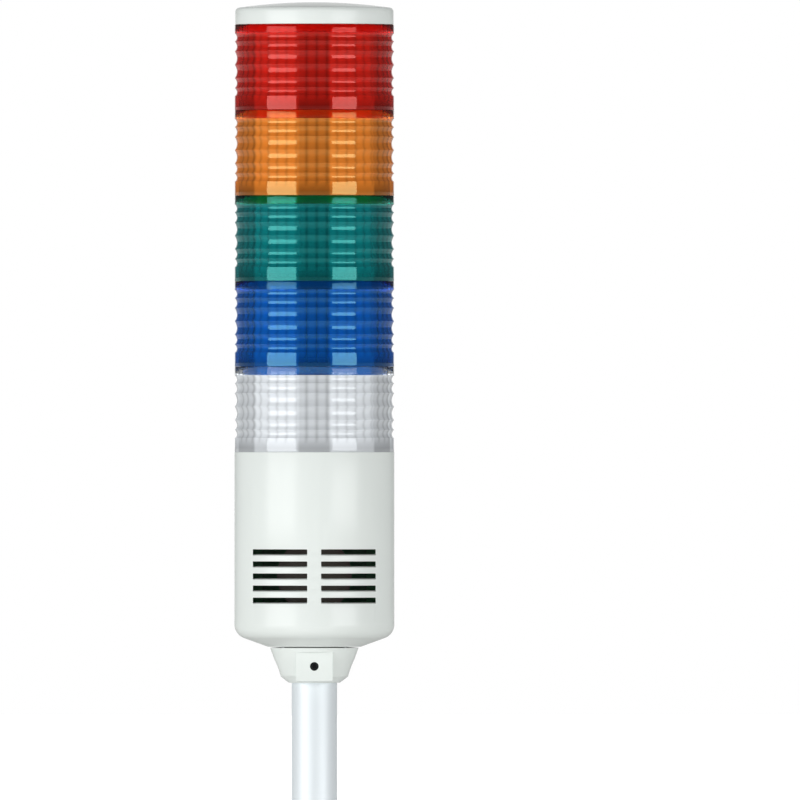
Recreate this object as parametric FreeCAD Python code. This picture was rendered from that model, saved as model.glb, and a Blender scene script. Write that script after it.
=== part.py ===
import FreeCAD, Part
import math
import os

# Five-tier signal light on an aluminium pole, held by a folding foot that screws to a machine's top.
# Millimetres. Z is up, the light's front (louvres, set screw and release button) faces -Y, and the
# origin is the centre of the foot's underside. The pole folds about an axis along Y, towards +X.

V = FreeCAD.Vector

# Fits between pieces
slip_gap = 0.15
running_gap = 0.05
seat_gap = 0.05
thread_gap = 0.04
overcut = 1.0

# Foot
gasket_thickness = 1.5
gasket_inset = 0.5
flange_radius = 44.0
flange_rim_height = 6.5
flange_edge_round = 1.8
flange_rise = 5.5
hub_radius = 14.5
hub_round = 3.0
screw_circle_radius = 33.0
screw_hole_radius = 2.75
screw_seat_radius = 4.8
screw_seat_height = 4.0
screw_count = 4
pillar_radius = 11.0
pillar_collar_radius = 12.0
pillar_collar_height = 5.0
pillar_collar_round = 1.0
cable_outlet_radius = 7.0
cable_bore_radius = 6.0
hinge_height = 60.0

# Hinge barrel, measured along its axis from its middle, front positive
barrel_radius = 22.75
barrel_half_length = 25.0
barrel_round = 3.0
slot_side_room = 0.85
fold_back_deg = -30.0
fold_front_deg = 90.0
front_cheek_share = 0.4
barrel_cap_wall_share = 0.32
barrel_cap_mouth_chamfer = 0.8
cap_spigot_radius = 17.5
cap_spigot_depth = 1.5
drum_side_gap = 0.35
sleeve_notch_gap = 0.4
drum_rim_gap = 0.5

# Arm
drum_radius = 19.6
drum_wall = 2.8
drum_side_wall = 2.4
drum_hub_radius = 8.0
drum_hub_cover = 1.0
cable_way_half_angle = 62.0
arm_window_angle = -58.0
arm_window_half_arc = 14.0
arm_window_width = 9.0
sleeve_radius = 11.15
sleeve_reach = 70.0
sleeve_mouth_round = 1.2
pole_seat_reach = 28.0
arm_screw_reach = 57.0
arm_screw_recess = 0.3

# Hinge pin and release button
pin_radius = 5.0
pin_head_radius = 8.0
pin_head_thickness = 1.5
pin_rear_depth = 7.0
button_radius = 7.0
button_stand = 3.5
button_round = 1.2
button_flange_radius = 8.8
button_flange_share = 0.19
button_travel = 2.0
button_stem_radius = 2.4
button_stem_length = 6.0
button_stem_round = 0.5
spring_radius = 5.6
spring_wire_share = 0.077
spring_turns = 2.5

# Pole
pole_radius = 8.5
pole_wall = 1.3
pole_length = 234.5

# Pole holder
holder_height = 15.5
holder_top_radius = 16.6
holder_waist_radius = 13.1
holder_mouth_radius = 9.6
holder_waist_round = 0.6
holder_chamfer_height = 4.4
holder_spigot_radius = 10.5
holder_stop = 1.5
pad_half_width = 6.9
pad_front = 14.6
pad_bottom = 1.4
pad_lip = 1.9
set_screw_height = 7.4
set_screw_radius = 1.6
set_screw_recess = 1.1
set_screw_socket_depth = 1.2
holder_screw_circle = 12.9
holder_screw_radius = 1.25
holder_screw_depth = 5.0
holder_screw_head_radius = 2.1
holder_screw_head_height = 1.6
cross_recess_share = 0.6
cross_recess_width = 0.6
trio_angles = (90.0, 210.0, 330.0)

# Body
body_radius = 30.0
body_height = 73.0
body_wall = 2.2
body_floor = 2.5
body_flat_radius = 17.5
body_slope_deg = 20.0
body_corner_radius = 5.5
body_flat_round = 1.0
louvre_rows = 5
louvre_pitch = 4.52
louvre_height = 2.2
louvre_drop = 0.25
louvre_first = 37.3
louvre_groove_depth = 0.35
louvre_inner_deg = 5.2
louvre_outer_deg = 49.3
post_radius = 3.2
post_height = 14.0
post_web_half_width = 1.2

# Parts inside the body
board_thickness = 1.6
board_front = -4.0
board_side_room = 4.5
board_floor_gap = 9.0
rail_depth = 2.4
rail_wall = 1.8
rail_top_room = 4.0
chip_row = 12.0
timer_chip = (-0.55, -0.16, 2.4, -8.0, 0.0)
sound_chip = (0.16, 0.63, 3.2, -6.0, 0.0)
switch_block = (-0.78, -0.59, 5.5, -2.0, 6.0)
trimmer_place = 0.63
trimmer_radius = 3.4
trimmer_depth = 4.5
trimmer_rise = 2.0
buzzer_share = 0.55
buzzer_depth = 11.0
buzzer_mouth_radius = 3.0
buzzer_mouth_depth = 4.0
terminal_width_share = 1.2
terminal_depth = 9.0
terminal_height = 10.0
terminal_ways = 7
terminal_screw_radius = 1.7
terminal_screw_place = 0.62
terminal_screw_foot = 0.4
terminal_from_board_foot = 4.0
chassis_thickness = 2.5
socket_width = 16.0
socket_depth = 8.0
socket_wall = 2.0
socket_slot_half_width = 1.2
socket_slot_depth = 3.0

# Light tiers, from the body upwards
tier_colours = ("clear", "blue", "green", "amber", "red")
tier_pitch = 32.05
lens_setback = 0.1
lens_wall = 2.15
lens_top_band = 3.2
lens_flute_heights = (3.1, 3.7, 5.0, 5.0, 3.7, 3.1)
lens_flute_depth = 0.8
collar_depth = 3.8
collar_wall = 3.4
lens_ledge = 1.5
led_post_share = 0.7
led_rows = 4
led_width = 3.6
led_height = 3.0
led_stand = 0.8
led_root = 0.5
led_board_thickness = 1.6
diffuser_room = 0.45
diffuser_wall = 1.3
rod_inset = 7.8
rod_radius = 1.25
rod_end_gap = 1.0
rod_end_past_nut = 0.3
clamp_room = 0.4
clamp_thickness = 1.2
nut_flats = 4.6
nut_height = 1.8

# Cap
cap_setback = 0.3
cap_side_height = 6.2
cap_crown = 2.2
cap_side_wall = 4.0
cap_roof = 5.1
cap_corner_radius = 1.6

# Sizes and heights that follow from the ones above
flange_base = gasket_thickness
pole_bottom = hinge_height + pole_seat_reach
pole_top = pole_bottom + pole_length
body_bottom = pole_top + holder_stop - body_floor
holder_bottom = body_bottom - holder_height
body_top = body_bottom + body_height
lens_radius = body_radius - lens_setback
collar_radius = lens_radius - lens_wall - slip_gap
collar_bore = collar_radius - collar_wall
lens_bore = lens_radius - lens_wall
clamp_radius = collar_bore - clamp_room
rod_circle = body_radius - rod_inset
diffuser_radius = rod_circle - rod_radius - diffuser_room
led_post_flats = led_post_share * body_radius
light_top = body_top + tier_pitch * len(tier_colours)
cap_radius = body_radius - cap_setback
chassis_top = body_top - collar_depth - seat_gap
chassis_bottom = chassis_top - chassis_thickness
board_bottom = body_bottom + board_floor_gap
board_top = chassis_bottom - slip_gap
board_half_width = body_radius - board_side_room
buzzer_radius = buzzer_share * board_half_width
terminal_width = terminal_width_share * body_radius
board_back = board_front - board_thickness
louvre_middle = body_top - louvre_first - louvre_pitch * (louvre_rows - 1) / 2
slot_half_width = sleeve_radius + slot_side_room
cap_joint = slot_half_width + front_cheek_share * (barrel_half_length - slot_half_width)
cap_length = barrel_half_length - cap_joint
barrel_cap_wall = barrel_cap_wall_share * cap_length
cap_inner = barrel_half_length - barrel_cap_wall
button_flange_thickness = button_flange_share * cap_length
spring_wire = spring_wire_share * cap_length
pin_head_back = cap_joint - pin_head_thickness
pin_end = slot_half_width + pin_rear_depth


def section(corners):
    """A flat outline in the XZ plane; a corner's third value is the radius that rounds it."""
    entries = []
    exits = []
    edges = []
    points = [V(corner[0], 0, corner[1]) for corner in corners]
    for i, corner in enumerate(corners):
        here = points[i]
        if len(corner) < 3:
            entries.append(here)
            exits.append(here)
            continue
        radius = corner[2]
        back = (points[i - 1] - here).normalize()
        ahead = (points[(i + 1) % len(points)] - here).normalize()
        half = back.getAngle(ahead) / 2
        entries.append(here + back * (radius / math.tan(half)))
        exits.append(here + ahead * (radius / math.tan(half)))
        crest = here + (back + ahead).normalize() * (radius / math.sin(half) - radius)
        edges.append((i, Part.Arc(entries[i], crest, exits[i]).toShape()))
    for i in range(len(points)):
        following = (i + 1) % len(points)
        edges.append((i + 0.5, Part.makeLine(exits[i], entries[following])))
    ordered = [edge for _, edge in sorted(edges, key=lambda pair: pair[0])]
    return Part.Face(Part.Wire(ordered))


def turned(corners):
    """A solid of revolution about Z from (radius, height) corners."""
    solid = section(corners).revolve(V(0, 0, 0), V(0, 0, 1), 360)
    if solid.Volume < 0:
        solid.reverse()
    return solid


def rod(radius, bottom, top, x=0.0, y=0.0):
    """An upright cylinder between two heights."""
    return Part.makeCylinder(radius, top - bottom, V(x, y, bottom))


def tube(outer, inner, bottom, top):
    """An upright tube between two heights."""
    return rod(outer, bottom, top).cut(rod(inner, bottom, top))


def block(x0, x1, y0, y1, z0, z1):
    """A box between two corners."""
    return Part.makeBox(x1 - x0, y1 - y0, z1 - z0, V(x0, y0, z0))


def prism(sides, across_flats, bottom, top, x=0.0, y=0.0):
    """An upright regular prism with a flat side facing -Y."""
    corner_radius = across_flats / 2 / math.cos(math.pi / sides)
    corners = []
    for i in range(sides + 1):
        angle = 2 * math.pi * (i + 0.5) / sides - math.pi / 2
        corners.append(V(x + corner_radius * math.cos(angle), y + corner_radius * math.sin(angle), bottom))
    return Part.Face(Part.makePolygon(corners)).extrude(V(0, 0, top - bottom))


def on_circle(radius, angle_deg):
    """The X and Y of a point on a circle about the Z axis."""
    angle = math.radians(angle_deg)
    return radius * math.cos(angle), radius * math.sin(angle)


def along_hinge(solid):
    """Takes a solid built about Z to the hinge axis: its +Z then faces the front, -Y."""
    laid = solid.copy()
    laid.rotate(V(0, 0, 0), V(1, 0, 0), 90)
    laid.translate(V(0, 0, hinge_height))
    return laid


def hinge_sector(radius, half_width, start_deg, end_deg):
    """A wedge about the hinge axis; its angles run from straight up towards +X."""
    wedge = Part.makeCylinder(radius, 2 * half_width, V(0, 0, -half_width), V(0, 0, 1), end_deg - start_deg)
    wedge.rotate(V(0, 0, 0), V(0, 0, 1), 90 - end_deg)
    return along_hinge(wedge)


def front_rod(radius, near, far, height, x=0.0):
    """A cylinder along Y between two distances in front of the tower's axis."""
    return Part.makeCylinder(radius, far - near, V(x, -near, height), V(0, -1, 0))


def cross_recess(x, y, top, span, depth):
    """The cross in a screw head, open upwards."""
    half = cross_recess_width / 2
    first = block(x - span, x + span, y - half, y + half, top - depth, top)
    second = block(x - half, x + half, y - span, y + span, top - depth, top)
    return first.fuse(second)


def base_gasket():
    """Rubber pad under the flange, with the flange's own holes."""
    pad = tube(flange_radius - gasket_inset, cable_outlet_radius, 0, gasket_thickness)
    for i in range(screw_count):
        x, y = on_circle(screw_circle_radius, 360 / screw_count * i)
        pad = pad.cut(rod(screw_hole_radius, 0, gasket_thickness, x, y))
    return pad


def sleeve_notch(angle_deg):
    """Room for the sleeve at one end of its swing, its sides parallel to the sleeve."""
    half = sleeve_radius + sleeve_notch_gap
    top = hinge_height + 2 * barrel_radius
    notch = block(-half, half, -slot_half_width, slot_half_width, hinge_height, top)
    notch.rotate(V(0, 0, hinge_height), V(0, 1, 0), angle_deg)
    return notch


def base_bracket():
    """Cast foot in one piece: screwed flange, pillar, and hinge barrel with its slot."""
    rim_top = flange_base + flange_rim_height
    hub_top = rim_top + flange_rise
    flange = turned([
        (0, flange_base),
        (flange_radius, flange_base),
        (flange_radius, rim_top, flange_edge_round),
        (hub_radius, hub_top, hub_round),
        (pillar_collar_radius, hub_top + pillar_collar_height, pillar_collar_round),
        (pillar_radius, hub_top + pillar_collar_height),
        (pillar_radius, hinge_height),
        (0, hinge_height),
    ])
    barrel = along_hinge(turned([
        (0, -barrel_half_length),
        (barrel_radius, -barrel_half_length, barrel_round),
        (barrel_radius, cap_joint),
        (0, cap_joint),
    ]))
    casting = flange.fuse(barrel)
    chamber_radius = drum_radius + drum_rim_gap
    cuts = [
        along_hinge(rod(chamber_radius, -slot_half_width, slot_half_width)),
        hinge_sector(2 * barrel_radius, slot_half_width, fold_back_deg, fold_front_deg),
        sleeve_notch(fold_back_deg),
        sleeve_notch(fold_front_deg),
        along_hinge(rod(pin_radius + running_gap, -pin_end - seat_gap, cap_joint)),
        along_hinge(rod(pin_head_radius + slip_gap, pin_head_back, cap_joint)),
        along_hinge(tube(
            cap_spigot_radius + slip_gap,
            cap_spigot_radius - barrel_cap_wall - slip_gap,
            cap_joint - cap_spigot_depth - seat_gap,
            cap_joint,
        )),
        rod(cable_outlet_radius, flange_base, rim_top),
        rod(cable_bore_radius, flange_base, hinge_height - pin_radius - slip_gap).cut(
            along_hinge(rod(chamber_radius, -barrel_half_length, barrel_half_length))
        ),
    ]
    for i in range(screw_count):
        x, y = on_circle(screw_circle_radius, 360 / screw_count * i)
        cuts.append(rod(screw_hole_radius, flange_base, hub_top, x, y))
        cuts.append(rod(screw_seat_radius, flange_base + screw_seat_height, hub_top, x, y))
    for cut in cuts:
        casting = casting.cut(cut)
    return casting


def barrel_cap():
    """Moulded disc that closes the barrel's front and guides the button."""
    shell = turned([
        (0, cap_joint),
        (barrel_radius, cap_joint),
        (barrel_radius, barrel_half_length, barrel_round),
        (0, barrel_half_length),
    ])
    well = rod(button_flange_radius + slip_gap, cap_joint, cap_inner)
    mouth = turned([
        (0, cap_inner),
        (button_radius + slip_gap, cap_inner),
        (button_radius + slip_gap, barrel_half_length - barrel_cap_mouth_chamfer),
        (button_radius + slip_gap + barrel_cap_mouth_chamfer, barrel_half_length),
        (0, barrel_half_length),
    ])
    spigot = tube(
        cap_spigot_radius,
        cap_spigot_radius - barrel_cap_wall,
        cap_joint - cap_spigot_depth,
        cap_joint,
    )
    return along_hinge(shell.cut(well).cut(mouth).fuse(spigot))


def pivot_pin():
    """Hollow steel pin that the drum turns on; the button's stem slides in its bore."""
    shaft = rod(pin_radius, -pin_end, cap_joint)
    head = rod(pin_head_radius, pin_head_back, cap_joint)
    bore_bottom = cap_inner - button_flange_thickness - button_travel - button_stem_length - overcut
    bore = rod(button_stem_radius + running_gap, bore_bottom, cap_joint)
    return along_hinge(shaft.fuse(head).cut(bore))


def release_button():
    """Push button with a flange behind the cap and a guide stem."""
    flange_front = cap_inner - seat_gap
    flange_back = flange_front - button_flange_thickness
    return along_hinge(turned([
        (0, flange_back - button_stem_length),
        (button_stem_radius, flange_back - button_stem_length, button_stem_round),
        (button_stem_radius, flange_back),
        (button_flange_radius, flange_back),
        (button_flange_radius, flange_front),
        (button_radius, flange_front),
        (button_radius, barrel_half_length + button_stand, button_round),
        (0, barrel_half_length + button_stand),
    ]))


def button_spring():
    """Square-wire coil between the pin's head and the button's flange."""
    room = cap_inner - seat_gap - button_flange_thickness - cap_joint
    length = room - spring_wire - 2 * seat_gap
    helix = Part.makeHelix(length / spring_turns, length, spring_radius)
    half = spring_wire / 2
    wire = Part.makePolygon([
        V(spring_radius - half, 0, -half),
        V(spring_radius + half, 0, -half),
        V(spring_radius + half, 0, half),
        V(spring_radius - half, 0, half),
        V(spring_radius - half, 0, -half),
    ])
    coil = Part.Wire(helix).makePipeShell([wire], True, True)
    coil.translate(V(0, 0, cap_joint + half + seat_gap))
    return along_hinge(coil)


def fold_arm():
    """Moulded arm: a hollow drum in the barrel and the sleeve that grips the pole."""
    half_width = slot_half_width - drum_side_gap
    drum = along_hinge(rod(drum_radius, -half_width, half_width))
    sleeve = turned([
        (0, hinge_height),
        (sleeve_radius, hinge_height),
        (sleeve_radius, hinge_height + sleeve_reach, sleeve_mouth_round),
        (0, hinge_height + sleeve_reach),
    ])
    cavity_half = half_width - drum_side_wall
    cavity = rod(drum_radius - drum_wall, -cavity_half, cavity_half)
    cavity = along_hinge(cavity.cut(rod(drum_hub_radius, -cavity_half, cavity_half)))
    pole_bore = rod(pole_radius + running_gap, pole_bottom, hinge_height + sleeve_reach)
    cable_bore = rod(cable_bore_radius, hinge_height + drum_hub_radius + drum_hub_cover, pole_bottom)
    drum_core = along_hinge(rod(drum_radius - drum_wall - overcut, -half_width, half_width))
    cable_way = hinge_sector(
        drum_radius + overcut,
        cable_bore_radius,
        180 - cable_way_half_angle,
        180 + cable_way_half_angle,
    ).cut(drum_core)
    window = hinge_sector(
        drum_radius + overcut,
        arm_window_width / 2,
        arm_window_angle - arm_window_half_arc,
        arm_window_angle + arm_window_half_arc,
    ).cut(drum_core)
    pin_bore = along_hinge(rod(pin_radius + running_gap, -half_width, half_width))
    screw_height = hinge_height + arm_screw_reach
    screw_hole = front_rod(set_screw_radius + thread_gap, -sleeve_radius - overcut, -pole_radius, screw_height)
    arm = drum.fuse(sleeve)
    for cut in (cavity, pole_bore, cable_bore, cable_way, window, pin_bore, screw_hole):
        arm = arm.cut(cut)
    return arm


def set_screw(inner, outer, height, socket_side):
    """Headless screw along Y with a hexagon socket at one end."""
    screw = front_rod(set_screw_radius, inner, outer, height)
    socket = prism(6, set_screw_radius, 0, set_screw_socket_depth)
    socket.rotate(V(0, 0, 0), V(1, 0, 0), 90 if socket_side == "front" else -90)
    open_end = -outer if socket_side == "front" else -inner
    shift = set_screw_socket_depth if socket_side == "front" else -set_screw_socket_depth
    socket.translate(V(0, open_end + shift, height))
    return screw.cut(socket)


def pole():
    """Drawn aluminium tube."""
    return tube(pole_radius, pole_radius - pole_wall, pole_bottom, pole_top)


def pole_holder():
    """Moulded cone under the body, with a flat pad for the set screw."""
    bore = pole_radius + running_gap
    cone = turned([
        (bore, holder_bottom),
        (holder_mouth_radius, holder_bottom),
        (holder_waist_radius, holder_bottom + holder_chamfer_height, holder_waist_round),
        (holder_top_radius, body_bottom),
        (holder_spigot_radius, body_bottom),
        (holder_spigot_radius, body_bottom + body_floor),
        (pole_radius - pole_wall, body_bottom + body_floor),
        (pole_radius - pole_wall, pole_top),
        (bore, pole_top),
    ])
    pad_base = holder_bottom + pad_bottom
    pad_top = body_bottom - pad_lip
    pad = block(-pad_half_width, pad_half_width, -pad_front, 0, pad_base, pad_top)
    pad = pad.cut(rod(bore, holder_bottom, body_bottom))
    above = block(-pad_half_width, pad_half_width, -body_radius, -pad_front, pad_base, pad_top)
    height = holder_bottom + set_screw_height
    holder = cone.fuse(pad).cut(above)
    holder = holder.cut(front_rod(set_screw_radius + thread_gap, pole_radius, pad_front + overcut, height))
    for angle in trio_angles:
        x, y = on_circle(holder_screw_circle, angle)
        hole = rod(holder_screw_radius + thread_gap, body_bottom - holder_screw_depth, body_bottom, x, y)
        holder = holder.cut(hole)
    return holder


def holder_screws():
    """Three screws from inside the body down into the pole holder."""
    seat = body_bottom + body_floor
    top = seat + holder_screw_head_height
    screws = []
    for angle in trio_angles:
        x, y = on_circle(holder_screw_circle, angle)
        shank = rod(holder_screw_radius, body_bottom - holder_screw_depth + seat_gap, seat, x, y)
        head = rod(holder_screw_head_radius, seat, top, x, y)
        span = holder_screw_head_radius * cross_recess_share
        recess = cross_recess(x, y, top, span, holder_screw_head_height * cross_recess_share)
        screws.append(shank.fuse(head).cut(recess))
    return Part.makeCompound(screws)


def louvre(row, side):
    """One slot through the wall, sloping down to the outside."""
    height = body_top - louvre_first - louvre_pitch * row
    inner = body_radius - body_wall - overcut
    outer = body_radius + overcut
    face = section([
        (inner, height - louvre_height / 2 + louvre_drop),
        (outer, height - louvre_height / 2 - louvre_drop),
        (outer, height + louvre_height / 2 - louvre_drop),
        (inner, height + louvre_height / 2 + louvre_drop),
    ])
    slot = face.revolve(V(0, 0, 0), V(0, 0, 1), louvre_outer_deg - louvre_inner_deg)
    start = louvre_inner_deg if side == "right" else -louvre_outer_deg
    slot.rotate(V(0, 0, 0), V(0, 0, 1), start - 90)
    if slot.Volume < 0:
        slot.reverse()
    return slot


def louvre_groove(row):
    """The shallow groove that joins one row's two slots across the middle."""
    height = body_top - louvre_first - louvre_pitch * row
    face = section([
        (body_radius - louvre_groove_depth, height),
        (body_radius + louvre_groove_depth, height - louvre_height),
        (body_radius + louvre_groove_depth, height + louvre_height),
    ])
    groove = face.revolve(V(0, 0, 0), V(0, 0, 1), 2 * louvre_inner_deg)
    groove.rotate(V(0, 0, 0), V(0, 0, 1), -louvre_inner_deg - 90)
    if groove.Volume < 0:
        groove.reverse()
    return groove


def body_housing():
    """Moulded housing: a cup with a sloped floor, sound louvres, board rails and rod posts."""
    slope = math.tan(math.radians(body_slope_deg))
    inner = body_radius - body_wall
    floor_top = body_bottom + body_floor
    hole = holder_spigot_radius + seat_gap
    shell = turned([
        (hole, body_bottom),
        (body_flat_radius, body_bottom, body_flat_round),
        (body_radius, body_bottom + (body_radius - body_flat_radius) * slope, body_corner_radius),
        (body_radius, body_top),
        (inner, body_top),
        (inner, floor_top + (inner - body_flat_radius) * slope, body_corner_radius - body_wall),
        (body_flat_radius, floor_top),
        (hole, floor_top),
    ])
    core = rod(inner + body_wall / 2, body_bottom, body_top)
    rail_bottom = board_bottom - rail_wall
    for side in (-1, 1):
        inside_edge = side * (board_half_width - rail_depth)
        x0, x1 = sorted((inside_edge, side * body_radius))
        front = -board_front - rail_wall - slip_gap
        back = -board_back + rail_wall + slip_gap
        rail = block(x0, x1, front, back, rail_bottom, board_top - rail_top_room)
        x0, x1 = sorted((inside_edge - side * overcut, side * (board_half_width + slip_gap)))
        groove = block(x0, x1, front + rail_wall, back - rail_wall, board_bottom, board_top)
        shell = shell.fuse(rail.common(core).cut(groove))
    for angle in trio_angles:
        x, y = on_circle(rod_circle, angle)
        post = rod(post_radius, chassis_bottom - post_height, chassis_bottom, x, y)
        reach = inner + body_wall / 2 - rod_circle
        web = block(0, reach, -post_web_half_width, post_web_half_width, 0, post_height)
        web.rotate(V(0, 0, 0), V(0, 0, 1), angle)
        web.translate(V(x, y, chassis_bottom - post_height))
        post = post.fuse(web)
        post = post.cut(rod(rod_radius + thread_gap, chassis_bottom - post_height, chassis_bottom, x, y))
        shell = shell.fuse(post)
    for row in range(louvre_rows):
        for side in ("left", "right"):
            shell = shell.cut(louvre(row, side))
        shell = shell.cut(louvre_groove(row))
    for angle in trio_angles:
        x, y = on_circle(holder_screw_circle, angle)
        shell = shell.cut(rod(holder_screw_radius + slip_gap, body_bottom, floor_top, x, y))
    return shell


def control_board():
    """Circuit board standing in the body's rails, with its chips and its volume trimmer."""
    front = -board_front
    back = -board_back
    board = block(-board_half_width, board_half_width, front, back, board_bottom, board_top)
    row = board_top - chip_row
    trimmer_x = trimmer_place * board_half_width
    trimmer_end = board_front + trimmer_depth
    board = board.fuse(front_rod(trimmer_radius, board_front, trimmer_end, row + trimmer_rise, trimmer_x))
    for chip, on_front in ((timer_chip, False), (sound_chip, False), (switch_block, True)):
        left, right, depth, low, high = chip
        near = front - depth if on_front else back
        board = board.fuse(block(
            left * board_half_width, right * board_half_width, near, near + depth, row + low, row + high
        ))
    return board


def buzzer():
    """Round sounder on the board's front, behind the louvres."""
    back = board_front
    can = front_rod(buzzer_radius, back, back + buzzer_depth, louvre_middle)
    mouth = front_rod(
        buzzer_mouth_radius, back + buzzer_depth - buzzer_mouth_depth, back + buzzer_depth, louvre_middle
    )
    return can.cut(mouth)


def terminal_block():
    """Screw terminals on the board's back, where the pole's wires end."""
    back = -board_back
    bottom = board_bottom + terminal_from_board_foot
    half = terminal_width / 2
    body = block(-half, half, back, back + terminal_depth, bottom, bottom + terminal_height)
    pitch = terminal_width / terminal_ways
    for i in range(terminal_ways):
        x = -half + pitch * (i + 0.5)
        y = back + terminal_depth * terminal_screw_place
        foot = bottom + terminal_height * terminal_screw_foot
        body = body.cut(rod(terminal_screw_radius, foot, bottom + terminal_height, x, y))
    return body


def rod_holes(bottom, top):
    """The three clearance holes for the tie rods."""
    radius = rod_radius + slip_gap
    return Part.makeCompound([rod(radius, bottom, top, *on_circle(rod_circle, a)) for a in trio_angles])


def chassis_plate():
    """Round plate on the body's posts; the lowest tier plugs in above it."""
    plate = rod(body_radius - body_wall - slip_gap, chassis_bottom, chassis_top)
    half = socket_width / 2 - socket_wall
    wires = block(-half, half, -socket_slot_half_width, socket_slot_half_width, chassis_bottom, chassis_top)
    return plate.cut(rod_holes(chassis_bottom, chassis_top)).cut(wires)


def base_socket():
    """Connector between the chassis plate and the lowest tier's board."""
    top = body_top + lens_ledge
    half_width = socket_width / 2
    half_depth = socket_depth / 2
    body = block(-half_width, half_width, -half_depth, half_depth, chassis_top, top)
    slot_end = half_width - socket_wall
    slot = block(
        -slot_end, slot_end, -socket_slot_half_width, socket_slot_half_width, top - socket_slot_depth, top
    )
    return body.cut(slot)


def tie_rods():
    """Three long rods that clamp the tiers to the body."""
    bottom = chassis_bottom - post_height + rod_end_gap
    top = light_top + lens_ledge + clamp_thickness + nut_height + rod_end_past_nut
    return Part.makeCompound([rod(rod_radius, bottom, top, *on_circle(rod_circle, a)) for a in trio_angles])


def clamp_plate():
    """Plate on top of the highest light module, held down by the rods."""
    bottom = light_top + lens_ledge
    top = bottom + clamp_thickness
    return rod(clamp_radius, bottom, top).cut(rod_holes(bottom, top))


def clamp_nuts():
    """Hexagon nuts on the rods."""
    bottom = light_top + lens_ledge + clamp_thickness
    nuts = []
    for angle in trio_angles:
        x, y = on_circle(rod_circle, angle)
        nut = prism(6, nut_flats, bottom, bottom + nut_height, x, y)
        nuts.append(nut.cut(rod(rod_radius + thread_gap, bottom, bottom + nut_height, x, y)))
    return Part.makeCompound(nuts)


def lens(bottom):
    """One tier's ringed lens; its collar plugs into the tier or the body below."""
    top = bottom + tier_pitch
    groove = lens_radius - lens_flute_depth
    corners = [
        (collar_bore, bottom - collar_depth),
        (collar_radius, bottom - collar_depth),
        (collar_radius, bottom),
        (lens_radius, bottom),
    ]
    height = top - lens_top_band - sum(lens_flute_heights)
    corners.append((lens_radius, height))
    for flute in reversed(lens_flute_heights):
        corners.append((groove, height + flute / 2))
        height += flute
        corners.append((lens_radius, height))
    corners.extend([
        (lens_radius, top),
        (lens_bore, top),
        (lens_bore, bottom + lens_ledge),
        (collar_bore, bottom + lens_ledge),
    ])
    return turned(corners)


def led_board(bottom):
    """Round board on the lens's inner ledge."""
    base = bottom + lens_ledge
    top = base + led_board_thickness
    return rod(lens_bore - slip_gap, base, top).cut(rod_holes(base, top))


def led_post(bottom):
    """Six-sided post with rows of light-emitting diodes; it carries the next tier's board."""
    base = bottom + lens_ledge + led_board_thickness
    top = bottom + tier_pitch + lens_ledge
    post = prism(6, led_post_flats, base, top)
    row_pitch = (top - base) / led_rows
    chips = []
    for row in range(led_rows):
        height = base + row_pitch * (row + 0.5) - led_height / 2
        for side in range(6):
            chip = block(
                -led_width / 2,
                led_width / 2,
                -led_post_flats / 2 - led_stand,
                -led_post_flats / 2 + led_root,
                height,
                height + led_height,
            )
            chip.rotate(V(0, 0, 0), V(0, 0, 1), 60 * side)
            chips.append(chip)
    return post.fuse(chips)


def diffuser(bottom):
    """Clear inner tube round the diodes, between two boards."""
    base = bottom + lens_ledge + led_board_thickness
    top = bottom + tier_pitch + lens_ledge - seat_gap
    return tube(diffuser_radius, diffuser_radius - diffuser_wall, base, top)


def top_cap():
    """Moulded cap with a slightly domed crown and a collar in the highest lens."""
    side_top = light_top + cap_side_height
    crown_radius = (cap_radius ** 2 + cap_crown ** 2) / (2 * cap_crown)
    crown_centre = side_top + cap_crown - crown_radius
    wall = turned([
        (collar_radius, light_top - collar_depth),
        (collar_radius, light_top),
        (cap_radius, light_top),
        (cap_radius, side_top + 2 * cap_corner_radius),
        (0, side_top + 2 * cap_corner_radius),
        (0, light_top - collar_depth),
    ])
    dome = Part.makeSphere(crown_radius, V(0, 0, crown_centre))
    shell = wall.common(dome)
    long_edges = [edge for edge in shell.Edges if edge.Length > cap_radius]
    rim = [edge for edge in long_edges if math.isclose(edge.BoundBox.ZMin, side_top, abs_tol=slip_gap)]
    shell = shell.makeFillet(cap_corner_radius, rim)
    collar_hole = rod(collar_bore, light_top - collar_depth, light_top)
    hollow = rod(cap_radius - cap_side_wall, light_top, light_top + cap_roof)
    return shell.cut(collar_hole).cut(hollow)


nodes = {
    "base_gasket": base_gasket(),
    "base_bracket": base_bracket(),
    "barrel_cap": barrel_cap(),
    "pivot_pin": pivot_pin(),
    "release_button": release_button(),
    "button_spring": button_spring(),
    "fold_arm": fold_arm(),
    "arm_set_screw": set_screw(
        -sleeve_radius + arm_screw_recess,
        -pole_radius - seat_gap,
        hinge_height + arm_screw_reach,
        "back",
    ),
    "pole": pole(),
    "pole_holder": pole_holder(),
    "pole_set_screw": set_screw(
        pole_radius + seat_gap,
        pad_front - set_screw_recess,
        holder_bottom + set_screw_height,
        "front",
    ),
    "holder_screws": holder_screws(),
    "body_housing": body_housing(),
    "control_board": control_board(),
    "buzzer": buzzer(),
    "terminal_block": terminal_block(),
    "chassis_plate": chassis_plate(),
    "base_socket": base_socket(),
    "tie_rods": tie_rods(),
    "clamp_plate": clamp_plate(),
    "clamp_nuts": clamp_nuts(),
    "top_cap": top_cap(),
}
for tier, colour in enumerate(tier_colours):
    tier_bottom = body_top + tier_pitch * tier
    nodes["lens_" + colour] = lens(tier_bottom)
    nodes["led_board_" + colour] = led_board(tier_bottom)
    nodes["led_post_" + colour] = led_post(tier_bottom)
    nodes["diffuser_" + colour] = diffuser(tier_bottom)

os.makedirs("parts", exist_ok=True)
for name, shape in nodes.items():
    shape.exportStep("parts/" + name + ".step")
    print(name, shape.isValid(), len(shape.Solids), round(shape.Volume, 1))
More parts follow.
